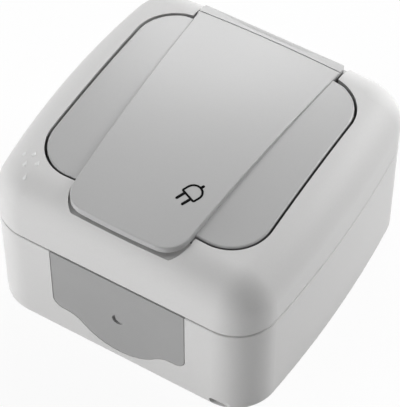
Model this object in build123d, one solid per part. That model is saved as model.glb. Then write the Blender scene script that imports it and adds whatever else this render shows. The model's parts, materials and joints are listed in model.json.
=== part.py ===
from build123d import *
import math
import os

# Outdoor weatherproof socket outlet for a wall, in millimetres.
# The wall face is z = 0 and +Z points out of the wall.
# +Y is up the wall (hinge side) and -Y is the cable entry side.

# Outer form of the box and the cushion-shaped cover
FRAME_W = 8.9           # cover beside the lid, at the middle of the bowed sides
SIDE_BOW = 2.4          # how far each side bows out
CORNER_R = 10.4
BASE_H = 28.0           # height of the seam between box and cover
PILLOW_R = 9.0          # large rounding of the cover
DOME_R = 300.0          # crown of cover and lid
SEAM_GAP = 0.75         # shadow line between box and cover
SEAM_CHAMFER = 0.15
FOOT_CHAMFER = 0.5

# Walls
WALL = 2.4
FLOOR = 2.0
BACK_RIM = 5.0          # width of the flat rim on the back
BACK_HOLLOW = 0.5       # depth of the shallow hollow inside that rim

# Type F socket pattern
PIN_SPACING = 19.0
PIN_LENGTH = 19.0
PIN_R = 2.4
PIN_HOLE_R = 2.65
WELL_R = 19.5
WELL_DEPTH = 17.5
WELL_WALL = 1.6
WELL_FLOOR = 3.0
GUIDE_RIB_W = 4.8
GUIDE_RIB_H = 2.0
GUIDE_RIB_DROP = 1.2    # ribs stop this far below the rim

# Stack of the inner pieces
BLOCK_LIFT = 0.4        # block clears the floor
POCKET_FLOOR = 1.0
PIN_TIP_ROOM = 0.6
FLANGE_W = 2.5
FLANGE_T = 1.7
WELL_SEAL_T = 1.2
LEDGE_T = 2.0
FIT_GAP = 0.3           # general clearance between moulded pieces
SNUG_GAP = 0.05         # clearance of screws, seals and pins

# Lid
LID_ROOM = 1.3          # flange of the well to the inside of the lid's skirt
LID_SHORT = 0.8         # lid is this much shorter than wide
LID_CORNER = 9.6
LID_Y = 0.2             # lid centre sits a little up the wall
LID_GAP = 0.6           # black groove round the lid
LID_T = 2.2
LID_EDGE_R = 0.5
SKIRT_GAP = 0.7         # skirt end stays above the ledge
LID_CROWN = 2.8         # crown height over the gasket's seat

# Lid gasket
GASKET_MARGIN = 0.5     # gasket's bore beyond the rim of the well
GASKET_W = 3.0
GASKET_T = 1.6
GASKET_PROUD = 0.4
GASKET_GAP = 0.1
GASKET_RIB = 1.2

# Raised strap of the lid with its finger tab
STRAP_W = 32.6          # width at the middle of the lid
STRAP_TAPER = 0.066     # half-width gained per millimetre towards the hinge
STRAP_RISE = 1.0
STRAP_PEAK_Y = -6.0     # highest point of the strap
STRAP_EDGE_R = 0.3
STRAP_DEPTH = 3.8       # strap's underside below the crown of the lid
TAB_SETBACK = 2.0       # finger tab's edge behind the front face
TAB_ARC = 0.5           # bow of that edge
TAB_CORNER = 5.5
TAB_DROP = 2.0          # tab's underside below the crown of the lid
TAB_GAP = 0.5
FINGER_ROOM = 2.1       # room for a fingertip below the tab

# Hinge
HINGE_SETBACK = 2.6     # hinge axis behind the edge of the lid's recess
HINGE_INSET = 5.9       # hinge axis from the back face
BARREL_R = 3.8
BEAD_CUT = 0.7          # barrel's back side drawn in towards the axis
BEAD_CORNER = 3.0       # rounding of its back corners
CREASE_SETBACK = 0.75   # crease across the strap in front of the hinge axis
CREASE_W = 0.4
CREASE_DEPTH = 0.12
HINGE_PIN_R = 1.25
HINGE_RUN = 0.05
NOTCH_GAP = 0.5         # barrel ends to the notch's ears
NOTCH_ROOM = 1.4        # barrel to the notch's floor
EAR_T = 2.4
NOTCH_FLOOR = 1.6
SWING_GAP = 0.45        # lid's back edge swings clear of the recess wall
SKIRT_RELIEF = 1.4      # skirt set back at the hinge side's corners
RELIEF_TOP = 2.6        # top of that set-back above the hinge axis
STOP_RISE = 0.9         # stop rib on the barrel
STOP_ANGLE = -29.0      # middle of the rib below the horizontal
STOP_W = 1.3
STOP_FROM_X = 8.0

# Lid spring
WIRE_R = 0.3
SPRING_TURNS = 5.0
SPRING_PITCH = 0.9
SPRING_LEG = 5.8
SPRING_HOOK = 2.2
SPRING_PLAY = 0.3       # coil round the hinge pin
SPRING_BAY = 11.0       # length of the spring's bay in the barrel
BAY_ROOM = 0.35         # coil to the bay's wall
REST_W = 2.0            # rib of the ledge below the spring's leg

# Screws
COVER_SCREW_ROOM = 1.3  # head to the flange of the well
COVER_SCREW_R = 1.6
COVER_HEAD_R = 2.8
COVER_HEAD_H = 1.8
COVER_HEAD_SINK = 2.0   # head's seat below the ledge
COVER_SCREW_L = 22.0
SCREW_SEAL_T = 0.7      # rubber washer under the head
POST_R = 4.0
POST_DROP = 2.0         # posts meet this far below the seam
PILOT_EXTRA = 1.0
WELL_SCREW_R = 1.5
WELL_HEAD_R = 3.0
WELL_HEAD_H = 1.6
WELL_SCREW_L = 12.0
BLOCK_SCREW_R = 1.4
BLOCK_HEAD_R = 2.6
BLOCK_HEAD_H = 1.9
BLOCK_SCREW_L = 6.8
BOSS_R = 3.2
SLOT_W = 0.8
SLOT_D = 0.8

# Contact block
BLOCK_HALF_X = 14.6
BLOCK_FRONT_Y = -15.0
BLOCK_BACK_Y = 9.0
BLOCK_CORNER = 2.0
LUG_Z = 8.0
LUG_T = 3.0
LUG_HALF_Y = 4.4
LUG_REACH = 3.2
TULIP_POCKET = 7.8
TERMINAL_POCKET = 8.4
POCKET_WALL = 1.0       # wall that carries the contact strip
TERMINAL_FLOOR_Z = 9.0

# Contacts and terminals
STRIP_T = 0.8
STRIP_W = 6.4
STRIP_TOP_DROP = 2.8    # top of the contact strip below the block's top
TULIP_T = 0.7
TULIP_PLAY = 0.05
TULIP_L = 10.5
TULIP_SLIT = 1.0
TULIP_RING = 3.0
TERMINAL_Y = -9.8
EARTH_Y = -10.6
TERMINAL_R = 1.5
TERMINAL_HEAD_R = 2.6
TERMINAL_HEAD_H = 1.7
TERMINAL_SCREW_L = 7.0
PLATE_W = 7.0
PLATE_T = 1.8
WIRE_ROOM = 1.6

# Earth strap
EARTH_W = 6.0
EARTH_BED_DROP = 3.0    # bed of the strap below the block's top
CLIP_GAP = 0.4          # clip's back to the well wall
CLIP_BULGE = 1.6
CLIP_TIP_DROP = 4.5
CLIP_BULGE_DROP = 8.0
CLIP_FOOT_DROP = 12.5
CLIP_BEND_R = 1.2
CLIP_SLOT_GAP = 0.4

# Cable membrane
MEMBRANE_X = 0.4        # middle of the entry
MEMBRANE_W = 34.0
MEMBRANE_SHOULDER_Z = 8.3
MEMBRANE_CORNER = 2.5
BELLY_Z = 15.4
BELLY_R = 13.0
BELLY_BLEND = 6.5
LIP_T = 1.2             # outer lip, flush in the wall
LIP_STEP = 1.6          # lip overlaps the wall's edge by this much
LIP_GAP = 0.2
BACK_LIP_T = 1.4
PIERCE_Z = 14.2         # middle of the thinned skin
SKIN_RINGS = ((8.5, 1.6), (5.5, 1.2), (3.0, 0.9))   # radius and skin left
PIERCE_R = 1.45
PIERCE_SHIFT = 0.85
PIERCE_DEPTH = 0.6

# Seal between box and cover
SEAL_INSET = 0.7
SEAL_W = 1.2
SEAL_GROOVE = 2.0
TONGUE_H = 1.2

# Wall fixing and foot slot
FIX_SPACING = 54.0
FIX_R = 2.2
FIX_PAD_R = 5.5
FOOT_SLOT_X = 26.2
FOOT_SLOT_Z = 1.4
FOOT_SLOT_W = 4.7
FOOT_SLOT_H = 1.5
FOOT_SLOT_DEPTH = 0.9

# Levels and places that follow from the sizes above
WELL_OUT_R = WELL_R + WELL_WALL
FLANGE_R = WELL_OUT_R + FLANGE_W
LID_W = 2 * (FLANGE_R + LID_ROOM + LID_T)
LID_D = LID_W - LID_SHORT
RECESS_BACK = LID_Y + LID_D / 2 + LID_GAP
HINGE_Y = RECESS_BACK + HINGE_SETBACK
NOTCH_Y = HINGE_Y - BARREL_R
HALF_D = HINGE_Y + HINGE_INSET
DEPTH = 2 * HALF_D
WIDTH = LID_W + 2 * FRAME_W
BOW_R = (HALF_D ** 2 + SIDE_BOW ** 2) / (2 * SIDE_BOW)
BLOCK_Z = FLOOR + BLOCK_LIFT
BLOCK_SCREW_X = BLOCK_HALF_X + BOSS_R + FIT_GAP
POCKET_Z = BLOCK_Z + POCKET_FLOOR
WELL_FLOOR_Z = POCKET_Z + PIN_TIP_ROOM + PIN_LENGTH
BLOCK_TOP_Z = WELL_FLOOR_Z - WELL_FLOOR
RIM_Z = WELL_FLOOR_Z + WELL_DEPTH
LEDGE_Z = RIM_Z - FLANGE_T - WELL_SEAL_T
LEDGE_UNDER_Z = LEDGE_Z - LEDGE_T
GASKET_IN_R = WELL_R + GASKET_MARGIN
GASKET_OUT_R = GASKET_IN_R + GASKET_W
GASKET_Z = RIM_Z + GASKET_GAP
GASKET_TOP_Z = GASKET_Z + GASKET_T
GASKET_RIB_Z = GASKET_Z + GASKET_PROUD
DOME_Z = GASKET_TOP_Z + LID_CROWN
STRAP_Z = DOME_Z + STRAP_RISE
STRAP_UNDER_Z = DOME_Z - STRAP_DEPTH
TAB_Z = DOME_Z - TAB_DROP
CHANNEL_Z = TAB_Z - FINGER_ROOM
LID_FRONT = LID_Y - LID_D / 2
TAB_Y = TAB_SETBACK - HALF_D
SKIRT_Z = LEDGE_Z + SKIRT_GAP
COVER_SCREW_XY = (FLANGE_R + COVER_SCREW_ROOM + COVER_HEAD_R) / math.sqrt(2)
COVER_SEAT_Z = LEDGE_Z - COVER_HEAD_SINK
STRAP_DIP = DOME_R - math.sqrt(DOME_R ** 2 - (HINGE_Y - STRAP_PEAK_Y) ** 2)
HINGE_Z = STRAP_Z - STRAP_DIP - BARREL_R
BARREL_HALF = STRAP_W / 2 + STRAP_TAPER * HINGE_Y
EAR_X = BARREL_HALF + NOTCH_GAP
NOTCH_Z = HINGE_Z - BARREL_R - NOTCH_ROOM
SPRING_R = HINGE_PIN_R + SPRING_PLAY + WIRE_R
SPRING_RUN = (SPRING_TURNS + 0.5) * SPRING_PITCH
BAY_R = SPRING_R + WIRE_R + BAY_ROOM
REST_Z = HINGE_Z - SPRING_R - WIRE_R - SNUG_GAP
PIN_X = PIN_SPACING / 2
STRIP_TOP_Z = BLOCK_TOP_Z - STRIP_TOP_DROP
STRIP_Z = STRIP_TOP_Z - STRIP_T
TULIP_IN_R = PIN_R + TULIP_PLAY
EARTH_BED_Z = BLOCK_TOP_Z - EARTH_BED_DROP
CLIP_Y = math.sqrt((WELL_R - CLIP_GAP / 2) ** 2 - (EARTH_W / 2) ** 2) - STRIP_T / 2
SEAM_Z = BASE_H
POST_TOP = SEAM_Z - POST_DROP
SKY = STRAP_Z - SEAM_Z + PILLOW_R
FRONT = Plane.XZ.offset(HALF_D)


def plan(inset=0.0):
    """Outline seen from the front: straight ends, bowed sides and rounded corners."""
    half_w = WIDTH / 2 - inset
    half_d = HALF_D - inset
    bow_centre = WIDTH / 2 - BOW_R
    end_x = bow_centre + math.sqrt((BOW_R - inset) ** 2 - half_d ** 2)
    with BuildSketch() as sketch:
        with BuildLine():
            Line((-end_x, -half_d), (end_x, -half_d))
            ThreePointArc((end_x, -half_d), (half_w, 0), (end_x, half_d))
            Line((end_x, half_d), (-end_x, half_d))
            ThreePointArc((-end_x, half_d), (-half_w, 0), (-end_x, -half_d))
        make_face()
        fillet(sketch.vertices(), CORNER_R - inset)
    return sketch.sketch


def prism(sketch, low, high):
    """Upright solid over a flat sketch, from one level to another."""
    return Pos(0, 0, low) * extrude(sketch, high - low)


def drum(radius, low, high, x=0.0, y=0.0):
    """Upright cylinder between two levels."""
    return Pos(x, y, (low + high) / 2) * Cylinder(radius, high - low)


def ring(inner, outer, low, high):
    """Upright ring between two levels."""
    return drum(outer, low, high) - drum(inner, low - 1, high + 1)


def bar(x0, x1, y0, y1, z0, z1):
    """Box between two corners."""
    middle = Pos((x0 + x1) / 2, (y0 + y1) / 2, (z0 + z1) / 2)
    return middle * Box(x1 - x0, y1 - y0, z1 - z0)


def axle(radius, half_length, y=HINGE_Y, z=HINGE_Z, x=0.0):
    """Cylinder along X, by default on the hinge axis."""
    return Pos(x, y, z) * Rot(0, 90, 0) * Cylinder(radius, 2 * half_length)


def dome(top, inset=0.0, peak_y=0.0):
    """Large ball whose upper surface crowns the lid and cover; its poles lie sideways."""
    return Pos(0, peak_y, top - DOME_R) * Rot(90, 0, 0) * Sphere(DOME_R - inset)


def corners():
    """The four places of the cover screws."""
    return [(sx * COVER_SCREW_XY, sy * COVER_SCREW_XY) for sx in (-1, 1) for sy in (-1, 1)]


def screw(x, y, seat, head_r, head_h, shank_r, length):
    """Pan-head screw with a driver slot, its head standing on the seat level."""
    head = drum(head_r, seat, seat + head_h, x, y)
    head = fillet(head.edges().sort_by(Axis.Z)[-1], head_h / 4)
    shank = drum(shank_r, seat - length, seat, x, y)
    top = seat + head_h
    slot = bar(x - head_r, x + head_r, y - SLOT_W / 2, y + SLOT_W / 2, top - SLOT_D, top + 1)
    return head + shank - slot


def seal_track(inset_from, inset_to, low, high):
    """Closed band that follows the outline in the seam."""
    return prism(plan(inset_from) - plan(inset_to), low, high)


def membrane_face(inset=0.0):
    """Entry outline on the front wall: straight sides, rounded shoulders and a round belly."""
    top = SEAM_Z + CORNER_R
    height = top - MEMBRANE_SHOULDER_Z
    panel = Pos(0, MEMBRANE_SHOULDER_Z + height / 2) * RectangleRounded(MEMBRANE_W, height, MEMBRANE_CORNER)
    shape = panel + Pos(0, BELLY_Z) * Circle(BELLY_R)
    waist = shape.vertices().filter_by(lambda v: abs(v.Y - MEMBRANE_SHOULDER_Z) < 0.01)
    waist = waist.filter_by(lambda v: abs(v.X) < BELLY_R)
    shape = Pos(MEMBRANE_X) * fillet(waist, BELLY_BLEND)
    return offset(shape, -inset) if inset else shape


def wall_slab(inset, from_y, to_y):
    """Slice of the entry outline between two depths behind the front face, cut off at the seam."""
    slab = extrude(Plane.XZ.offset(HALF_D - from_y) * membrane_face(inset), from_y - to_y)
    return slab - bar(-WIDTH, WIDTH, -DEPTH, DEPTH, SEAM_Z, SEAM_Z + 4 * CORNER_R)


def base_box():
    body = prism(plan(), 0, SEAM_Z - SEAM_GAP)
    body = chamfer(body.faces().sort_by(Axis.Z)[0].edges(), FOOT_CHAMFER)
    body = chamfer(body.faces().sort_by(Axis.Z)[-1].edges(), SEAM_CHAMFER)
    body += prism(plan(SEAL_INSET), SEAM_Z - SEAM_GAP, SEAM_Z)
    body -= prism(plan(WALL), FLOOR, SEAM_Z)
    body -= prism(plan(BACK_RIM), 0, BACK_HOLLOW)
    for x in (-FIX_SPACING / 2, FIX_SPACING / 2):
        body += drum(FIX_PAD_R, 0, FLOOR, x)
    for x, y in corners():
        body += drum(POST_R, BACK_HOLLOW, POST_TOP, x, y)
    for x in (-BLOCK_SCREW_X, BLOCK_SCREW_X):
        body += drum(BOSS_R, BACK_HOLLOW, LUG_Z, x)
    cover_tip = COVER_SEAT_Z - COVER_SCREW_L - PILOT_EXTRA
    for x, y in corners():
        body -= drum(COVER_SCREW_R + SNUG_GAP, cover_tip, POST_TOP, x, y)
    block_tip = LUG_Z + LUG_T - BLOCK_SCREW_L - PILOT_EXTRA
    for x in (-BLOCK_SCREW_X, BLOCK_SCREW_X):
        body -= drum(BLOCK_SCREW_R + SNUG_GAP, block_tip, LUG_Z, x)
    for x in (-FIX_SPACING / 2, FIX_SPACING / 2):
        body -= drum(FIX_R, 0, FLOOR, x)
    body -= seal_track(SEAL_INSET, SEAL_INSET + SEAL_W, SEAM_Z - SEAL_GROOVE, SEAM_Z)
    body -= wall_slab(-LIP_GAP, 0, LIP_T)
    body -= wall_slab(LIP_STEP - LIP_GAP, 0, WALL + 1)
    slot = FRONT * Pos(FOOT_SLOT_X, FOOT_SLOT_Z) * SlotOverall(FOOT_SLOT_W, FOOT_SLOT_H)
    return body - extrude(slot, -FOOT_SLOT_DEPTH)


def cable_membrane():
    body = wall_slab(0, 0, LIP_T)
    body += wall_slab(LIP_STEP, LIP_T, WALL)
    body += wall_slab(LIP_GAP, WALL, WALL + BACK_LIP_T)
    body -= seal_track(SEAL_INSET, SEAL_INSET + SEAL_W, SEAM_Z - SEAL_GROOVE, SEAM_Z)
    body -= seal_track(0, SEAL_INSET, SEAM_Z - SEAM_GAP, SEAM_Z)
    for radius, skin in SKIN_RINGS:
        pocket = Plane.XZ.offset(HALF_D - skin) * Pos(MEMBRANE_X, PIERCE_Z) * Circle(radius)
        body -= extrude(pocket, -WALL - BACK_LIP_T)
    moon = Circle(PIERCE_R) - Pos(PIERCE_SHIFT, PIERCE_SHIFT) * Circle(PIERCE_R)
    body -= extrude(FRONT * Pos(MEMBRANE_X, PIERCE_Z) * moon, -PIERCE_DEPTH)
    return body


def base_seal():
    groove_z = SEAM_Z - SEAL_GROOVE
    return seal_track(SEAL_INSET + SNUG_GAP, SEAL_INSET + SEAL_W - SNUG_GAP, groove_z, SEAM_Z - TONGUE_H)


def pillow(inset=0.0):
    """Cushion-shaped envelope of the cover, from the seam to the crown."""
    block = prism(plan(inset), SEAM_Z, SEAM_Z + SKY)
    body = block & dome(DOME_Z, inset)
    crown = body.faces().sort_by(Axis.Z)[-1]
    return fillet(crown.edges(), PILLOW_R - inset)


def lid_outline(grow=0.0):
    shape = RectangleRounded(LID_W + 2 * grow, LID_D + 2 * grow, LID_CORNER + grow)
    return Pos(0, LID_Y) * shape


def strap_outline(grow=0.0, front=TAB_Y, back=HINGE_Y):
    """Tapered strip along the lid with a bowed front edge and rounded front corners."""
    front_y = front - grow
    half_front = STRAP_W / 2 + STRAP_TAPER * front_y + grow
    half_back = STRAP_W / 2 + STRAP_TAPER * back + grow
    with BuildSketch() as sketch:
        with BuildLine():
            ThreePointArc((-half_front, front_y + TAB_ARC), (0, front_y), (half_front, front_y + TAB_ARC))
            Line((half_front, front_y + TAB_ARC), (half_back, back))
            Line((half_back, back), (-half_back, back))
            Line((-half_back, back), (-half_front, front_y + TAB_ARC))
        make_face()
        fillet(sketch.vertices().sort_by(Axis.Y)[:2], TAB_CORNER + grow)
    return sketch.sketch


def spring_rest():
    """Low rib on the ledge that carries the leg of the lid's spring."""
    x = -SPRING_RUN / 2
    return bar(x - REST_W / 2, x + REST_W / 2, HINGE_Y - SPRING_LEG, NOTCH_Y, LEDGE_UNDER_Z, REST_Z)


def front_cover():
    shell = pillow()
    body = shell - pillow(WALL)
    tub = prism(lid_outline(LID_GAP + WALL), LEDGE_UNDER_Z, SEAM_Z + SKY)
    hood_x = EAR_X + EAR_T
    hood = bar(-hood_x, hood_x, NOTCH_Y - WALL, HALF_D, NOTCH_Z - NOTCH_FLOOR, SEAM_Z + SKY)
    body += (tub + hood) & shell
    for x, y in corners():
        body += drum(POST_R, POST_TOP, LEDGE_Z, x, y)
    tongue_in = SEAL_INSET + SEAL_W - SNUG_GAP
    body += seal_track(SEAL_INSET + SNUG_GAP, tongue_in, SEAM_Z - TONGUE_H, SEAM_Z + WALL)
    body -= prism(lid_outline(LID_GAP), LEDGE_Z, SEAM_Z + SKY)
    body -= prism(strap_outline(TAB_GAP, TAB_Y, 0), CHANNEL_Z, SEAM_Z + SKY)
    body -= bar(-EAR_X, EAR_X, NOTCH_Y, DEPTH, NOTCH_Z, SEAM_Z + SKY)
    body -= bar(-EAR_X, EAR_X, NOTCH_Y - WALL, DEPTH, LEDGE_Z, SEAM_Z + SKY)
    body += spring_rest()
    body -= axle(HINGE_PIN_R + HINGE_RUN / 2, hood_x + 1)
    body -= drum(WELL_OUT_R + FIT_GAP, LEDGE_UNDER_Z - 1, LEDGE_Z + 1)
    for x, y in corners():
        body -= drum(COVER_SCREW_R + SNUG_GAP, POST_TOP - 1, LEDGE_Z + 1, x, y)
        body -= drum(COVER_HEAD_R + FIT_GAP, COVER_SEAT_Z - SCREW_SEAL_T, LEDGE_Z + 1, x, y)
    return body


def cover_screws():
    sizes = (COVER_SEAT_Z, COVER_HEAD_R, COVER_HEAD_H, COVER_SCREW_R, COVER_SCREW_L)
    return Compound(children=[screw(x, y, *sizes) for x, y in corners()])


def screw_seals():
    """Rubber washers under the heads of the cover screws, outside the lid's gasket."""
    washer = ring(COVER_SCREW_R + SNUG_GAP, COVER_HEAD_R, COVER_SEAT_Z - SCREW_SEAL_T, COVER_SEAT_Z)
    return Compound(children=[Pos(x, y) * washer for x, y in corners()])


def lid_body():
    """Crowned plate with a skirt, hollow below; its back edge is relieved for the swing."""
    body = prism(lid_outline(), SKIRT_Z, SEAM_Z + SKY)
    body &= dome(DOME_Z)
    body = fillet(body.faces().sort_by(Axis.Z)[-1].edges(), LID_EDGE_R)
    hollow = prism(lid_outline(-LID_T), SKIRT_Z, SEAM_Z + SKY)
    body -= hollow & dome(DOME_Z, LID_T)
    rim_dip = DOME_R - math.sqrt(DOME_R ** 2 - RECESS_BACK ** 2)
    swing = math.hypot(HINGE_Y - RECESS_BACK, DOME_Z - rim_dip - HINGE_Z) + SWING_GAP
    body -= axle(swing, WIDTH / 2)
    set_back = lid_outline(LID_GAP) - Pos(0, -SKIRT_RELIEF) * lid_outline(LID_GAP)
    return body - prism(set_back, SKIRT_Z, HINGE_Z + RELIEF_TOP)


def strap():
    """Raised strap with the finger tab in front, ending on the hinge barrel."""
    body = prism(strap_outline(), STRAP_UNDER_Z, SEAM_Z + SKY) & dome(STRAP_Z, 0, STRAP_PEAK_Y)
    top = body.faces().sort_by(Axis.Z)[-1]
    edges = top.edges().filter_by(lambda e: e.center().Y < HINGE_Y - STRAP_EDGE_R)
    body = fillet(edges, STRAP_EDGE_R)
    room = prism(strap_outline(-LID_T, LID_FRONT), STRAP_UNDER_Z, SEAM_Z + SKY)
    room &= prism(lid_outline(-LID_T), STRAP_UNDER_Z, SEAM_Z + SKY)
    body -= room & dome(STRAP_Z, LID_T, STRAP_PEAK_Y)
    return body - bar(-WIDTH, WIDTH, -DEPTH, LID_FRONT + LID_T / 2, STRAP_UNDER_Z - 1, TAB_Z)


def barrel():
    """Hinge barrel with rounded ends, its upper side trimmed to the crown of the strap."""
    body = axle(BARREL_R, BARREL_HALF)
    body = fillet(body.edges().filter_by(GeomType.CIRCLE), STRAP_EDGE_R)
    bead_y = HINGE_Y - BEAD_CUT
    body &= axle(BARREL_R, WIDTH / 2, y=bead_y)
    ends = RectangleRounded(2 * BARREL_HALF, DEPTH, BEAD_CORNER)
    body &= prism(Pos(0, bead_y + BARREL_R - DEPTH / 2) * ends, NOTCH_Z, SEAM_Z + SKY)
    return body & dome(STRAP_Z, 0, STRAP_PEAK_Y)


def crease():
    """Fine groove across the strap where it runs into the barrel."""
    back = HINGE_Y - CREASE_SETBACK
    groove = bar(-WIDTH, WIDTH, back - CREASE_W, back, HINGE_Z, SEAM_Z + SKY)
    return groove - dome(STRAP_Z, CREASE_DEPTH, STRAP_PEAK_Y)


def stop_rib(side):
    """Rib on the barrel that meets the edge of the ledge when the lid is fully open."""
    length = BARREL_HALF - STOP_FROM_X
    rib = Pos(0, BARREL_R, 0) * Box(length, 2 * STOP_RISE, STOP_W)
    return Pos(side * (STOP_FROM_X + length / 2), HINGE_Y, HINGE_Z) * Rot(STOP_ANGLE, 0, 0) * rib


def lid():
    body = lid_body() + strap() + barrel() - crease()
    seat = ring(GASKET_IN_R - GASKET_RIB, GASKET_OUT_R + GASKET_RIB, GASKET_RIB_Z, DOME_Z)
    body += seat & dome(DOME_Z, LID_T / 2)
    body -= ring(GASKET_IN_R, GASKET_OUT_R, GASKET_RIB_Z - 1, GASKET_TOP_Z)
    body += [stop_rib(-1), stop_rib(1)]
    bay_half = SPRING_BAY / 2
    body -= axle(BAY_R, bay_half)
    below = HINGE_Z - 2 * BARREL_R
    body -= bar(-bay_half, bay_half, HINGE_Y - BAY_R, HINGE_Y + BAY_R, below, HINGE_Z)
    leg_top = HINGE_Z - SPRING_R + 2 * WIRE_R
    body -= bar(-bay_half, bay_half, HINGE_Y - 2 * BARREL_R, HINGE_Y, below, leg_top)
    body -= axle(HINGE_PIN_R + HINGE_RUN, BARREL_HALF + 1)
    hook = SPRING_HOOK + bay_half
    body -= axle(WIRE_R + SNUG_GAP, hook / 2, z=HINGE_Z + SPRING_R, x=hook / 2)
    return body


def lid_gasket():
    return ring(GASKET_IN_R + SNUG_GAP, GASKET_OUT_R - SNUG_GAP, GASKET_Z, GASKET_TOP_Z)


def hinge_pin():
    return axle(HINGE_PIN_R, EAR_X + EAR_T)


def lid_spring():
    """Torsion spring round the hinge pin: one leg lies on its rest, one hooks into the barrel."""
    coil_place = Pos(-SPRING_RUN / 2, HINGE_Y, HINGE_Z) * Rot(0, 90, 0)
    coil = coil_place * Helix(SPRING_PITCH, SPRING_RUN, SPRING_R)
    wire = Plane(origin=coil @ 0, z_dir=coil % 0) * Circle(WIRE_R)
    body = sweep(wire, path=coil, is_frenet=True) + extrude(wire, -SPRING_LEG)
    hook = SPRING_HOOK + SPRING_BAY / 2 - SPRING_RUN / 2
    return body + axle(WIRE_R, hook / 2, z=HINGE_Z + SPRING_R, x=(SPRING_RUN + hook) / 2)


def socket_well():
    body = drum(WELL_OUT_R, BLOCK_TOP_Z, RIM_Z) + drum(FLANGE_R, RIM_Z - FLANGE_T, RIM_Z)
    body -= drum(WELL_R, WELL_FLOOR_Z, RIM_Z + 1)
    rib_in = WELL_R - GUIDE_RIB_H
    for side in (-1, 1):
        x0, x1 = sorted((side * rib_in, side * (WELL_R + WELL_WALL / 2)))
        body += bar(x0, x1, -GUIDE_RIB_W / 2, GUIDE_RIB_W / 2, WELL_FLOOR_Z - 1, RIM_Z - GUIDE_RIB_DROP)
    for x in (-PIN_X, PIN_X):
        body -= drum(PIN_HOLE_R, BLOCK_TOP_Z - 1, WELL_FLOOR_Z + 1, x)
    body -= drum(WELL_SCREW_R + FIT_GAP, BLOCK_TOP_Z - 1, WELL_FLOOR_Z + 1)
    body -= drum(WELL_HEAD_R + FIT_GAP, WELL_FLOOR_Z - WELL_HEAD_H, WELL_FLOOR_Z + 1)
    slot_half = EARTH_W / 2 + CLIP_SLOT_GAP
    slot_in = CLIP_Y - STRIP_T / 2 - CLIP_SLOT_GAP
    for side in (-1, 1):
        y0, y1 = sorted((side * slot_in, side * (CLIP_Y + STRIP_T / 2 + CLIP_SLOT_GAP)))
        body -= bar(-slot_half, slot_half, y0, y1, BLOCK_TOP_Z - 1, WELL_FLOOR_Z + 1)
    return body


def well_seal():
    return ring(WELL_OUT_R + FIT_GAP, FLANGE_R - SNUG_GAP, LEDGE_Z, LEDGE_Z + WELL_SEAL_T)


def well_screw():
    seat = WELL_FLOOR_Z - WELL_HEAD_H
    return screw(0, 0, seat, WELL_HEAD_R, WELL_HEAD_H, WELL_SCREW_R, WELL_SCREW_L)


def contact_block():
    length = BLOCK_BACK_Y - BLOCK_FRONT_Y
    middle_y = (BLOCK_BACK_Y + BLOCK_FRONT_Y) / 2
    footprint = Pos(0, middle_y) * RectangleRounded(2 * BLOCK_HALF_X, length, BLOCK_CORNER)
    body = prism(footprint, BLOCK_Z, BLOCK_TOP_Z)
    lug_x = BLOCK_SCREW_X + LUG_REACH
    body += bar(-lug_x, lug_x, -LUG_HALF_Y, LUG_HALF_Y, LUG_Z, LUG_Z + LUG_T)
    bed_half = EARTH_W / 2 + FIT_GAP
    body -= bar(-bed_half, bed_half, -DEPTH, DEPTH, EARTH_BED_Z, BLOCK_TOP_Z + 1)
    tulip_half = TULIP_POCKET / 2
    term_half = TERMINAL_POCKET / 2
    for x in (-PIN_X, PIN_X):
        body -= bar(x - tulip_half, x + tulip_half, -tulip_half, tulip_half, POCKET_Z, BLOCK_TOP_Z + 1)
        wall_y = -tulip_half - POCKET_WALL
        body -= bar(x - term_half, x + term_half, -DEPTH, wall_y, TERMINAL_FLOOR_Z, BLOCK_TOP_Z + 1)
        body -= bar(x - term_half, x + term_half, wall_y - 1, -tulip_half + 1, STRIP_Z, BLOCK_TOP_Z + 1)
    for x in (-BLOCK_SCREW_X, BLOCK_SCREW_X):
        body -= drum(BLOCK_SCREW_R + SNUG_GAP, LUG_Z - 1, LUG_Z + LUG_T + 1, x)
    plate_half = PLATE_W / 2 + FIT_GAP
    body -= bar(-plate_half, plate_half, -DEPTH, EARTH_Y + plate_half, TERMINAL_FLOOR_Z, EARTH_BED_Z)
    tip = WELL_FLOOR_Z - WELL_HEAD_H - WELL_SCREW_L - PILOT_EXTRA
    body -= drum(WELL_SCREW_R + SNUG_GAP, tip, BLOCK_TOP_Z)
    return body


def contact(x):
    """Strip with a terminal hole at the front and a slit tulip sleeve below the pin hole."""
    half = STRIP_W / 2
    sleeve_r = TULIP_IN_R + TULIP_T
    body = bar(x - half, x + half, TERMINAL_Y - half, sleeve_r, STRIP_Z, STRIP_TOP_Z)
    body += drum(sleeve_r, STRIP_Z - TULIP_L, STRIP_Z, x)
    body -= drum(TULIP_IN_R, STRIP_Z - TULIP_L - 1, STRIP_TOP_Z + 1, x)
    slit = TULIP_SLIT / 2
    body -= bar(x - WELL_R, x + WELL_R, -slit, slit, STRIP_Z - TULIP_L - 1, STRIP_Z - TULIP_RING)
    body -= drum(TERMINAL_R + SNUG_GAP, STRIP_Z - 1, STRIP_TOP_Z + 1, x, TERMINAL_Y)
    return body


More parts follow.
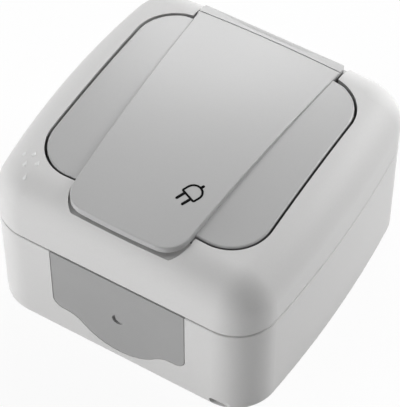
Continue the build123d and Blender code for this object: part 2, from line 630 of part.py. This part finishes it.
def earth_strap():
    """Bent strip under the well with a bulged clip rising at each side of it."""
    run_z = EARTH_BED_Z + STRIP_T / 2
    side = [
        (CLIP_Y, run_z),
        (CLIP_Y, RIM_Z - CLIP_FOOT_DROP),
        (CLIP_Y - CLIP_BULGE, RIM_Z - CLIP_BULGE_DROP),
        (CLIP_Y, RIM_Z - CLIP_TIP_DROP),
    ]
    path = [(-y, z) for y, z in reversed(side)] + side
    with BuildSketch(Plane.YZ) as profile:
        with BuildLine():
            FilletPolyline(*path, radius=CLIP_BEND_R)
        trace(line_width=STRIP_T)
    body = extrude(profile.sketch, EARTH_W / 2, both=True)
    body -= drum(WELL_SCREW_R + FIT_GAP, EARTH_BED_Z - 1, EARTH_BED_Z + STRIP_T + 1)
    return body - drum(TERMINAL_R + SNUG_GAP, EARTH_BED_Z - 1, EARTH_BED_Z + STRIP_T + 1, 0, EARTH_Y)


def terminals():
    """Place and strip level of each terminal: live, neutral and earth."""
    earth = (0, EARTH_Y, EARTH_BED_Z, EARTH_BED_Z + STRIP_T)
    return [(x, TERMINAL_Y, STRIP_Z, STRIP_TOP_Z) for x in (-PIN_X, PIN_X)] + [earth]


def terminal_screws():
    sizes = (TERMINAL_HEAD_R, TERMINAL_HEAD_H, TERMINAL_R, TERMINAL_SCREW_L)
    return Compound(children=[screw(x, y, top, *sizes) for x, y, under, top in terminals()])


def terminal_plates():
    plates = []
    half = PLATE_W / 2
    for x, y, under, top in terminals():
        high = under - WIRE_ROOM
        plate = bar(x - half, x + half, y - half, y + half, high - PLATE_T, high)
        plates.append(plate - drum(TERMINAL_R + SNUG_GAP, high - PLATE_T - 1, high + 1, x, y))
    return Compound(children=plates)


def block_screws():
    sizes = (LUG_Z + LUG_T, BLOCK_HEAD_R, BLOCK_HEAD_H, BLOCK_SCREW_R, BLOCK_SCREW_L)
    return Compound(children=[screw(x, 0, *sizes) for x in (-BLOCK_SCREW_X, BLOCK_SCREW_X)])


PARTS = {
    "base_box": base_box,
    "cable_membrane": cable_membrane,
    "base_seal": base_seal,
    "front_cover": front_cover,
    "cover_screws": cover_screws,
    "screw_seals": screw_seals,
    "socket_well": socket_well,
    "well_seal": well_seal,
    "well_screw": well_screw,
    "contact_block": contact_block,
    "live_contact": lambda: contact(-PIN_X),
    "neutral_contact": lambda: contact(PIN_X),
    "earth_strap": earth_strap,
    "terminal_screws": terminal_screws,
    "terminal_plates": terminal_plates,
    "block_screws": block_screws,
    "lid": lid,
    "lid_gasket": lid_gasket,
    "hinge_pin": hinge_pin,
    "lid_spring": lid_spring,
}

os.makedirs("parts", exist_ok=True)
for name, make in PARTS.items():
    export_step(make(), f"parts/{name}.step")
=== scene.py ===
import json
import math

import bmesh
import bpy
from mathutils import Matrix, Vector
from mathutils.bvhtree import BVHTree


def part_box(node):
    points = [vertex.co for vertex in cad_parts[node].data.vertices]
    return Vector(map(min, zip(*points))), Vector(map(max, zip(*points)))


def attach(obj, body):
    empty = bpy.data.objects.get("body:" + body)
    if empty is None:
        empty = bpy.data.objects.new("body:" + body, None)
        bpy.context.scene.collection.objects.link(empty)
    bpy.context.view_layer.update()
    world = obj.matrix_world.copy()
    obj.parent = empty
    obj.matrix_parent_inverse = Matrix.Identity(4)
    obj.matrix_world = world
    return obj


# Outdoor weatherproof socket: finishes, print, studio and camera, in metres.
# The part lies on its back: the wall face is z = 0 and the hinge is at +Y.
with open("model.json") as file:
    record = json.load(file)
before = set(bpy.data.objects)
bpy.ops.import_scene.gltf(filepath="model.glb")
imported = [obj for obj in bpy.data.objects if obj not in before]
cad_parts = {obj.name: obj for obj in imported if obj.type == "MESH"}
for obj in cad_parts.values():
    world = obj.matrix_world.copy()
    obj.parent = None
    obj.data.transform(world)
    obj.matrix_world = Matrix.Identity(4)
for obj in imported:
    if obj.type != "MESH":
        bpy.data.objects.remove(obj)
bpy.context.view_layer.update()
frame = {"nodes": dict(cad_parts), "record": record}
MM = 0.001

# Camera of the photograph
VIEW_AZIMUTH = math.radians(31.27)
VIEW_ELEVATION = math.radians(51.53)
VIEW_DISTANCE = 496.8 * MM
VIEW_SIDE = -0.31 * MM
VIEW_RISE = 10.11 * MM
LENS = 188.5
NEAR_CLIP = 50 * MM

# Studio: how far off the lamps stand, and how the floor and the surround look
LAMP_DISTANCE = 1.2
FLOOR_HALF = 2.5
PAPER_LEVEL = 0.9
PAPER_ROUGH = 0.9
FLOOR_WHITE = 0.93
SURROUND_WHITE = 1.0
SURROUND_STRENGTH = 0.02

# Crowns of the lid: the strap's, which the print follows, and the plate's below it
CROWN_R = 300 * MM
CROWN_PEAK = Vector((0.0, -6.0 * MM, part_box("lid")[1].z))
STRAP_RISE = 1.0 * MM
PLATE_TOP = CROWN_PEAK.z - STRAP_RISE

# Plug symbol printed on the strap
SYMBOL_PLACE = Vector((8.50 * MM, -19.85 * MM, 0.0))
SYMBOL_TURN = math.radians(-22.5)
SYMBOL_LINE = 0.50 * MM
SYMBOL_BAR = 0.66 * MM
SYMBOL_BODY_R = 2.15 * MM
SYMBOL_SIDE = 1.70 * MM
SYMBOL_CORNER = 0.5 * MM
SYMBOL_PIN_SPACING = 2.00 * MM
SYMBOL_PIN_L = 2.25 * MM
SYMBOL_CORD_L = 0.80 * MM
BAR_END_R = 0.48 * SYMBOL_BAR
PRINT_SINK = 0.06 * MM
PRINT_PROUD = 0.04 * MM
BODY_STEPS = 64
CORNER_STEPS = 4

# Raised drops on the cover's corner, placed in millimetres
DROP_PLACES = ((-29.1, -25.9), (-26.9, -25.3), (-27.3, -28.3), (-24.8, -27.1), (-25.4, -31.0))
DROP_R = 0.48 * MM
DROP_TAIL = 2.0
DROP_TAPER = 0.8
DROP_RISE = 0.22
DROP_STEPS_ROUND = 24
DROP_STEPS_HIGH = 12

# Patterns of the finishes, in repeats a metre
CLOUD_SCALE = 38.0
GRAIN_SCALE = 2600.0
RUBBED_SCALE = 45.0
BLOOM_SCALE = 160.0
PIT_SCALE = 3400.0
STREAK_SCALE = 4200.0
STAIN_SCALE = 240.0

# How strongly those patterns show
PATTERN_RANGE = (0.2, 0.8)
SPECK = 0.015
RUBBER_ROUGH = (0.62, 0.78)
STAIN_MOST = 0.7
STAIN_ROUGH = 0.18
STREAK_STRETCH = (1.0, 1.0, 0.12)
RELIEF_DEPTH = 0.05 * MM

# Painted shade darkens the upright walls of narrow gaps, from a little below the lid's plate
GAP_START = 0.3 * MM
GAP_REACH = 1.4 * MM
GAP_POWER = 1.5
GAP_SAMPLES = 8

# Points closer than this are one point
WELD_REACH = 0.002 * MM


def skin_group(name, inputs):
    """Node group of a surface: named inputs go in, colour, roughness and height come out."""
    tree = bpy.data.node_groups.new(name, "ShaderNodeTree")
    for label, value in inputs.items():
        kind = "NodeSocketColor" if isinstance(value, tuple) else "NodeSocketFloat"
        socket = tree.interface.new_socket(label, in_out="INPUT", socket_type=kind)
        socket.default_value = value
    tree.interface.new_socket("Colour", in_out="OUTPUT", socket_type="NodeSocketColor")
    tree.interface.new_socket("Roughness", in_out="OUTPUT", socket_type="NodeSocketFloat")
    tree.interface.new_socket("Height", in_out="OUTPUT", socket_type="NodeSocketFloat")
    return tree, tree.nodes.new("NodeGroupInput").outputs, tree.nodes.new("NodeGroupOutput").inputs


def feed(tree, value, socket):
    """Links another node's output to a socket, or sets the socket to a number."""
    if hasattr(value, "links"):
        tree.links.new(value, socket)
    else:
        socket.default_value = value


def noise(tree, scale, detail=2.0, rough=0.5, stretch=None):
    """Noise pattern on the piece's own coordinates, stretched where a scale for each axis is given."""
    place = tree.nodes.new("ShaderNodeTexCoord").outputs["Object"]
    if stretch:
        mapping = tree.nodes.new("ShaderNodeMapping")
        mapping.inputs["Scale"].default_value = stretch
        tree.links.new(place, mapping.inputs["Vector"])
        place = mapping.outputs["Vector"]
    pattern = tree.nodes.new("ShaderNodeTexNoise")
    pattern.inputs["Scale"].default_value = scale
    pattern.inputs["Detail"].default_value = detail
    pattern.inputs["Roughness"].default_value = rough
    tree.links.new(place, pattern.inputs["Vector"])
    return pattern.outputs["Fac"]


def remap(tree, pattern, low, high):
    """Spreads a pattern's middle range over the values from low to high."""
    node = tree.nodes.new("ShaderNodeMapRange")
    node.inputs["From Min"].default_value, node.inputs["From Max"].default_value = PATTERN_RANGE
    feed(tree, pattern, node.inputs["Value"])
    feed(tree, low, node.inputs["To Min"])
    feed(tree, high, node.inputs["To Max"])
    return node.outputs["Result"]


def maths(tree, kind, first, second):
    """One arithmetic node; each side is another node's output or a number."""
    node = tree.nodes.new("ShaderNodeMath")
    node.operation = kind
    feed(tree, first, node.inputs[0])
    feed(tree, second, node.inputs[1])
    return node.outputs["Value"]


def waver(tree, pattern, share):
    """Factor that a pattern takes up and down from one by a share."""
    return remap(tree, pattern, maths(tree, "SUBTRACT", 1.0, share), maths(tree, "ADD", 1.0, share))


def tint(tree, colour, strength):
    """Colour multiplied by a factor."""
    node = tree.nodes.new("ShaderNodeVectorMath")
    node.operation = "SCALE"
    tree.links.new(colour, node.inputs["Vector"])
    tree.links.new(strength, node.inputs["Scale"])
    return node.outputs["Vector"]


def split(tree, kind):
    """The x, y and z of a place or a direction on the piece."""
    given = tree.nodes.new("ShaderNodeTexCoord")
    parts = tree.nodes.new("ShaderNodeSeparateXYZ")
    tree.links.new(given.outputs[kind], parts.inputs["Vector"])
    return [parts.outputs[axis] for axis in "XYZ"]


def plate_depth(tree):
    """How far a point lies below the crown of the lid's plate."""
    x, y, z = split(tree, "Object")
    spread = maths(tree, "ADD", maths(tree, "MULTIPLY", x, x), maths(tree, "MULTIPLY", y, y))
    crown = maths(tree, "SUBTRACT", PLATE_TOP, maths(tree, "DIVIDE", spread, 2 * CROWN_R))
    return maths(tree, "SUBTRACT", crown, z)


def painted_gap_shade(tree, strength):
    """Factor of painted shade that darkens the upright walls of narrow gaps round the lid."""
    hidden = tree.nodes.new("ShaderNodeAmbientOcclusion")
    hidden.samples = GAP_SAMPLES
    hidden.inputs["Distance"].default_value = GAP_REACH
    rise = split(tree, "Normal")[2]
    upright = maths(tree, "SUBTRACT", 1.0, maths(tree, "MULTIPLY", rise, rise))
    below = maths(tree, "GREATER_THAN", plate_depth(tree), GAP_START)
    in_gap = maths(tree, "MULTIPLY", upright, below)
    shut = maths(tree, "MULTIPLY", maths(tree, "SUBTRACT", 1.0, hidden.outputs["AO"]), strength)
    open_share = maths(tree, "SUBTRACT", 1.0, maths(tree, "MULTIPLY", shut, in_gap))
    return maths(tree, "POWER", open_share, GAP_POWER)


def moulding_group():
    """Moulded plastic: slow cloudy tone, fine spark-eroded grain, rubbed patches and painted shade on the
    walls of narrow gaps.
    """
    tree, given, result = skin_group(
        "moulded_skin",
        {
            "Colour": (0.5, 0.5, 0.5, 1),
            "Cloud": 0.03,
            "Gloss Low": 0.36,
            "Gloss High": 0.46,
            "Painted Gap Shade": 0.0,
        },
    )
    cloud = waver(tree, noise(tree, CLOUD_SCALE, detail=3.0), given["Cloud"])
    grain = noise(tree, GRAIN_SCALE)
    shade = maths(tree, "MULTIPLY", cloud, waver(tree, grain, SPECK))
    # Painted shade: ambient occlusion darkens the colour of upright walls in narrow gaps
    shade = maths(tree, "MULTIPLY", shade, painted_gap_shade(tree, given["Painted Gap Shade"]))
    gloss = remap(tree, noise(tree, RUBBED_SCALE, detail=1.0), given["Gloss Low"], given["Gloss High"])
    tree.links.new(tint(tree, given["Colour"], shade), result["Colour"])
    tree.links.new(gloss, result["Roughness"])
    tree.links.new(grain, result["Height"])
    return tree


def rubber_group():
    """Soft rubber: pale bloom in patches and a dry, pitted skin."""
    tree, given, result = skin_group("rubber_skin", {"Colour": (0.3, 0.3, 0.3, 1), "Bloom": 0.08})
    bloom = noise(tree, BLOOM_SCALE, detail=5.0, rough=0.6)
    pits = noise(tree, PIT_SCALE, detail=1.0)
    tree.links.new(tint(tree, given["Colour"], waver(tree, bloom, given["Bloom"])), result["Colour"])
    tree.links.new(remap(tree, bloom, *RUBBER_ROUGH), result["Roughness"])
    tree.links.new(pits, result["Height"])
    return tree


def metal_group():
    """Drawn or turned metal: faint streaks, slight tarnish and uneven polish."""
    tree, given, result = skin_group(
        "worked_metal",
        {"Colour": (0.6, 0.6, 0.6, 1), "Tarnish": (0.4, 0.4, 0.4, 1), "Polish": 0.26},
    )
    streaks = noise(tree, STREAK_SCALE, stretch=STREAK_STRETCH)
    stain = remap(tree, noise(tree, STAIN_SCALE, detail=5.0, rough=0.65), 0.0, STAIN_MOST)
    mix = tree.nodes.new("ShaderNodeMix")
    mix.data_type = "RGBA"
    tree.links.new(stain, mix.inputs["Factor"])
    tree.links.new(given["Colour"], mix.inputs["A"])
    tree.links.new(given["Tarnish"], mix.inputs["B"])
    rough = maths(tree, "ADD", given["Polish"], maths(tree, "MULTIPLY", stain, STAIN_ROUGH))
    tree.links.new(mix.outputs["Result"], result["Colour"])
    tree.links.new(rough, result["Roughness"])
    tree.links.new(streaks, result["Height"])
    return tree


def finish(name, group, values, relief=0.06, metallic=0.0, specular=0.5):
    """Material whose colour, gloss and relief come from one of the groups."""
    material = bpy.data.materials.new(name)
    material.use_nodes = True
    tree = material.node_tree
    shader = tree.nodes["Principled BSDF"]
    skin = tree.nodes.new("ShaderNodeGroup")
    skin.node_tree = group
    for label, value in values.items():
        skin.inputs[label].default_value = value
    bump = tree.nodes.new("ShaderNodeBump")
    bump.inputs["Strength"].default_value = relief
    bump.inputs["Distance"].default_value = RELIEF_DEPTH
    tree.links.new(skin.outputs["Colour"], shader.inputs["Base Color"])
    tree.links.new(skin.outputs["Roughness"], shader.inputs["Roughness"])
    tree.links.new(skin.outputs["Height"], bump.inputs["Height"])
    tree.links.new(bump.outputs["Normal"], shader.inputs["Normal"])
    shader.inputs["Metallic"].default_value = metallic
    shader.inputs["Specular IOR Level"].default_value = specular
    return material


def grey(level, warm=0.0):
    """Linear colour a touch warmer than neutral."""
    return (level * (1 + warm), level, level * (1 - warm), 1)


def plastics():
    """Mouldings of the casing, the drops on it (paled as a painted highlight), the lid, the plug recess
    and the contact block.
    """
    skin = moulding_group()
    casing = {"Colour": grey(0.66, 0.005), "Cloud": 0.012, "Gloss Low": 0.54, "Gloss High": 0.62}
    # The drops are the casing's plastic; their paler colour is a painted highlight
    drop = {"Colour": grey(0.76), "Cloud": 0.01, "Gloss Low": 0.24, "Gloss High": 0.28}
    # The lid gets strong painted shade on the walls of its narrow gaps
    lid = {"Colour": grey(0.44), "Cloud": 0.01, "Gloss Low": 0.27, "Gloss High": 0.31, "Painted Gap Shade": 0.9}
    recess = {"Colour": grey(0.34), "Cloud": 0.02}
    block = {"Colour": grey(0.55, 0.03), "Cloud": 0.03}
    return {
        "casing_plastic": finish("casing_plastic", skin, casing, specular=0.35),
        "drop_highlight_plastic": finish("drop_highlight_plastic", skin, drop, relief=0.04),
        "lid_plastic": finish("lid_plastic", skin, lid, relief=0.05),
        "well_plastic": finish("well_plastic", skin, recess),
        "block_plastic": finish("block_plastic", skin, block, relief=0.10),
    }


def rubbers():
    """Cable membrane, seals and the matt ink of the print."""
    skin = rubber_group()
    membrane = {"Colour": grey(0.355), "Bloom": 0.03}
    seal = {"Colour": grey(0.025), "Bloom": 0.15}
    ink = {"Colour": grey(0.003), "Bloom": 0.2}
    return {
        "membrane_rubber": finish("membrane_rubber", skin, membrane, relief=0.10),
        "seal_rubber": finish("seal_rubber", skin, seal, relief=0.15),
        "symbol_ink": finish("symbol_ink", skin, ink, relief=0.05, specular=0.05),
    }


def metals():
    """Plated screws, spring wire and contact strip."""
    skin = metal_group()
    plated = {"Colour": grey(0.62), "Tarnish": grey(0.45, 0.04), "Polish": 0.24}
    wire = {"Colour": grey(0.52), "Tarnish": grey(0.36, 0.06), "Polish": 0.20}
    brass = {"Colour": (0.78, 0.56, 0.24, 1), "Tarnish": (0.55, 0.36, 0.14, 1), "Polish": 0.26}
    return {
        "screw_steel": finish("screw_steel", skin, plated, relief=0.10, metallic=1.0),
        "spring_steel": finish("spring_steel", skin, wire, relief=0.08, metallic=1.0),
        "contact_brass": finish("contact_brass", skin, brass, relief=0.08, metallic=1.0),
    }


def dress_nodes(materials):
    """Gives each part node the finish of its material slot."""
    for entry in frame["record"]["subparts"]:
        node = frame["nodes"][entry["node"]]
        node.data.materials.clear()
        node.data.materials.append(materials[entry["material_slot"]])


def add_object(name, bm, material):
    """Makes a finished bmesh an object at the origin."""
    mesh = bpy.data.meshes.new(name)
    bm.to_mesh(mesh)
    bm.free()
    mesh.materials.append(material)
    made = bpy.data.objects.new(name, mesh)
    bpy.context.scene.collection.objects.link(made)
    return made


def new_verts(geometry):
    """The points among what an extrusion made."""
    return [item for item in geometry if isinstance(item, bmesh.types.BMVert)]


def round_corners(bm, corners, radius):
    """Rounds corners of a flat shape."""
    bmesh.ops.bevel(
        bm, geom=corners, offset=radius, affect="VERTICES", segments=CORNER_STEPS, profile=0.5, material=-1
    )


def symbol_bar(bm, across, start, end):
    """Flat printed bar along Y, with round ends."""
    middle = Matrix.Translation((across, (start + end) / 2, 0))
    size = Matrix.Diagonal((SYMBOL_BAR, abs(end - start), 1, 1))
    made = bmesh.ops.create_grid(bm, x_segments=1, y_segments=1, size=0.5, matrix=middle @ size)
    round_corners(bm, made["verts"], BAR_END_R)


def plug_outline(bm):
    """D-shaped line: half a disc with straight sides, inset by the line width and opened."""
    bmesh.ops.create_circle(bm, cap_ends=True, segments=BODY_STEPS, radius=SYMBOL_BODY_R)
    everything = bm.verts[:] + bm.edges[:] + bm.faces[:]
    bmesh.ops.bisect_plane(bm, geom=everything, plane_co=(0, 0, 0), plane_no=(0, 1, 0), clear_inner=True)
    bmesh.ops.remove_doubles(bm, verts=bm.verts, dist=WELD_REACH)
    flat = [edge for edge in bm.edges if max(vert.co.y for vert in edge.verts) < WELD_REACH]
    low = new_verts(bmesh.ops.extrude_edge_only(bm, edges=flat)["geom"])
    bmesh.ops.translate(bm, verts=low, vec=(0, -SYMBOL_SIDE, 0))
    inner = [edge for edge in bm.edges if len(edge.link_faces) == 2]
    bmesh.ops.dissolve_edges(bm, edges=inner)
    round_corners(bm, low, SYMBOL_CORNER)
    bmesh.ops.translate(bm, verts=bm.verts, vec=(0, SYMBOL_SIDE, 0))
    body = bm.faces[:]
    bmesh.ops.inset_region(bm, faces=body, thickness=SYMBOL_LINE, use_even_offset=True, use_boundary=True)
    bmesh.ops.delete(bm, geom=body, context="FACES")


def plug_symbol(material):
    """Printed plug sign that lies on the crown of the lid's strap."""
    bm = bmesh.new()
    plug_outline(bm)
    for side in (-1, 1):
        symbol_bar(bm, side * SYMBOL_PIN_SPACING / 2, SYMBOL_LINE / 2, -SYMBOL_PIN_L)
    top = SYMBOL_SIDE + SYMBOL_BODY_R
    symbol_bar(bm, 0, top - SYMBOL_LINE / 2, top + SYMBOL_CORD_L)
    upper = new_verts(bmesh.ops.extrude_face_region(bm, geom=bm.faces[:], use_keep_orig=True)["geom"])
    bmesh.ops.translate(bm, verts=bm.verts, vec=(0, 0, -PRINT_SINK))
    bmesh.ops.translate(bm, verts=upper, vec=(0, 0, PRINT_SINK + PRINT_PROUD))
    place = Matrix.Translation(SYMBOL_PLACE) @ Matrix.Rotation(SYMBOL_TURN, 4, "Z")
    bmesh.ops.transform(bm, matrix=place, verts=bm.verts)
    for vert in bm.verts:
        away = (vert.co - CROWN_PEAK).to_2d().length
        vert.co.z += CROWN_PEAK.z - CROWN_R + math.sqrt(CROWN_R ** 2 - away ** 2)
    bmesh.ops.recalc_face_normals(bm, faces=bm.faces)
    piece = add_object("plug_symbol", bm, material)
    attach(piece, "lid")


def raised_drop(bm):
    """Low drop that lies flat, its tail towards +Y; returns its points."""
    verts = bmesh.ops.create_uvsphere(
        bm, u_segments=DROP_STEPS_ROUND, v_segments=DROP_STEPS_HIGH, radius=DROP_R
    )["verts"]
    for vert in verts:
        vert.co.z *= DROP_RISE
        if vert.co.y > 0:
            vert.co.x *= 1 - DROP_TAPER * vert.co.y / DROP_R
            vert.co.y *= DROP_TAIL
    return verts


def rain_drops(material):
    """Five raised drops that point up the wall, the common sign for a splash-proof fitting."""
    cover = frame["nodes"]["front_cover"]
    corners = [cover.matrix_world @ vert.co for vert in cover.data.vertices]
    skin = BVHTree.FromPolygons(corners, [face.vertices[:] for face in cover.data.polygons])
    bm = bmesh.new()
    for x, y in DROP_PLACES:
        drop = raised_drop(bm)
        foot, facing = skin.ray_cast(Vector((x * MM, y * MM, CROWN_PEAK.z)), Vector((0, 0, -1)))[:2]
        lean = Vector((0, 0, 1)).rotation_difference(facing).to_matrix().to_4x4()
        bmesh.ops.transform(bm, matrix=Matrix.Translation(foot) @ lean, verts=drop)
    for face in bm.faces:
        face.smooth = True
    piece = add_object("rain_drops", bm, material)
    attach(piece, "box")


def direction(azimuth, elevation):
    """Unit vector from the part to a lamp or the camera; azimuth runs from the front to the right."""
    flat = math.cos(elevation)
    return Vector((math.sin(azimuth) * flat, -math.cos(azimuth) * flat, math.sin(elevation)))


def softbox(name, azimuth, elevation, width, height, power):
    """Oblong lamp that faces the part from a direction given in degrees."""
    out = direction(math.radians(azimuth), math.radians(elevation))
    lamp = bpy.data.lights.new(name, "AREA")
    lamp.shape = "RECTANGLE"
    lamp.size = width
    lamp.size_y = height
    lamp.energy = power
    holder = bpy.data.objects.new(name, lamp)
    holder.location = out * LAMP_DISTANCE
    holder.rotation_euler = out.to_track_quat("Z", "Y").to_euler()
    bpy.context.scene.collection.objects.link(holder)


def seen_white(tree, shader, share):
    """Lays plain white over a shader where the camera, a reflection or glass looks at it."""
    light = tree.nodes.new("ShaderNodeLightPath")
    looked_at = maths(tree, "MAXIMUM", light.outputs["Is Camera Ray"], light.outputs["Is Glossy Ray"])
    looked_at = maths(tree, "MAXIMUM", looked_at, light.outputs["Is Transmission Ray"])
    white = tree.nodes.new("ShaderNodeEmission")
    mix = tree.nodes.new("ShaderNodeMixShader")
    tree.links.new(maths(tree, "MULTIPLY", looked_at, share), mix.inputs[0])
    tree.links.new(shader, mix.inputs[1])
    tree.links.new(white.outputs["Emission"], mix.inputs[2])
    return mix.outputs["Shader"]


def paper_floor():
    """White paper under the part, which keeps its shadow."""
    paper = bpy.data.materials.new("white_paper")
    paper.use_nodes = True
    tree = paper.node_tree
    shader = tree.nodes["Principled BSDF"]
    shader.inputs["Base Color"].default_value = grey(PAPER_LEVEL)
    shader.inputs["Roughness"].default_value = PAPER_ROUGH
    shown = seen_white(tree, shader.outputs["BSDF"], FLOOR_WHITE)
    tree.links.new(shown, tree.nodes["Material Output"].inputs["Surface"])
    bm = bmesh.new()
    bmesh.ops.create_grid(bm, x_segments=1, y_segments=1, size=FLOOR_HALF)
    floor = add_object("studio_floor", bm, paper)


def surround():
    """Even white world that gives little light."""
    world = bpy.data.worlds.new("studio_surround")
    world.use_nodes = True
    tree = world.node_tree
    light = tree.nodes["Background"]
    light.inputs["Color"].default_value = grey(1.0)
    light.inputs["Strength"].default_value = SURROUND_STRENGTH
    shown = seen_white(tree, light.outputs["Background"], SURROUND_WHITE)
    tree.links.new(shown, tree.nodes["World Output"].inputs["Surface"])
    bpy.context.scene.world = world


def lamps():
    """Soft lamps: low front left, upper left, right behind, and two behind for the lid's sheen."""
    softbox("front_softbox", azimuth=-42, elevation=9, width=0.9, height=0.3, power=10.4)
    softbox("upper_softbox", azimuth=-40, elevation=60, width=0.8, height=0.8, power=2.7)
    softbox("right_softbox", azimuth=144, elevation=29, width=0.8, height=0.8, power=12.6)
    softbox("sheen_softbox", azimuth=206, elevation=34, width=0.5, height=0.5, power=4.3)
    softbox("high_softbox", azimuth=206, elevation=48, width=0.6, height=0.6, power=1.4)


def photo_camera():
    """Camera at the photograph's place."""
    back = direction(VIEW_AZIMUTH, VIEW_ELEVATION)
    right = Vector((math.cos(VIEW_AZIMUTH), math.sin(VIEW_AZIMUTH), 0))
    up = back.cross(right)
    camera = bpy.data.cameras.new("photo_camera")
    camera.lens = LENS
    camera.clip_start = NEAR_CLIP
    holder = bpy.data.objects.new("photo_camera", camera)
    holder.location = back * VIEW_DISTANCE + right * VIEW_SIDE + up * VIEW_RISE
    holder.rotation_euler = (math.pi / 2 - VIEW_ELEVATION, 0, VIEW_AZIMUTH)
    bpy.context.scene.collection.objects.link(holder)
    bpy.context.scene.camera = holder


materials = plastics() | rubbers() | metals()
dress_nodes(materials)
plug_symbol(materials["symbol_ink"])
rain_drops(materials["drop_highlight_plastic"])
paper_floor()
surround()
lamps()
photo_camera()
bpy.context.scene.view_settings.view_transform = "Standard"
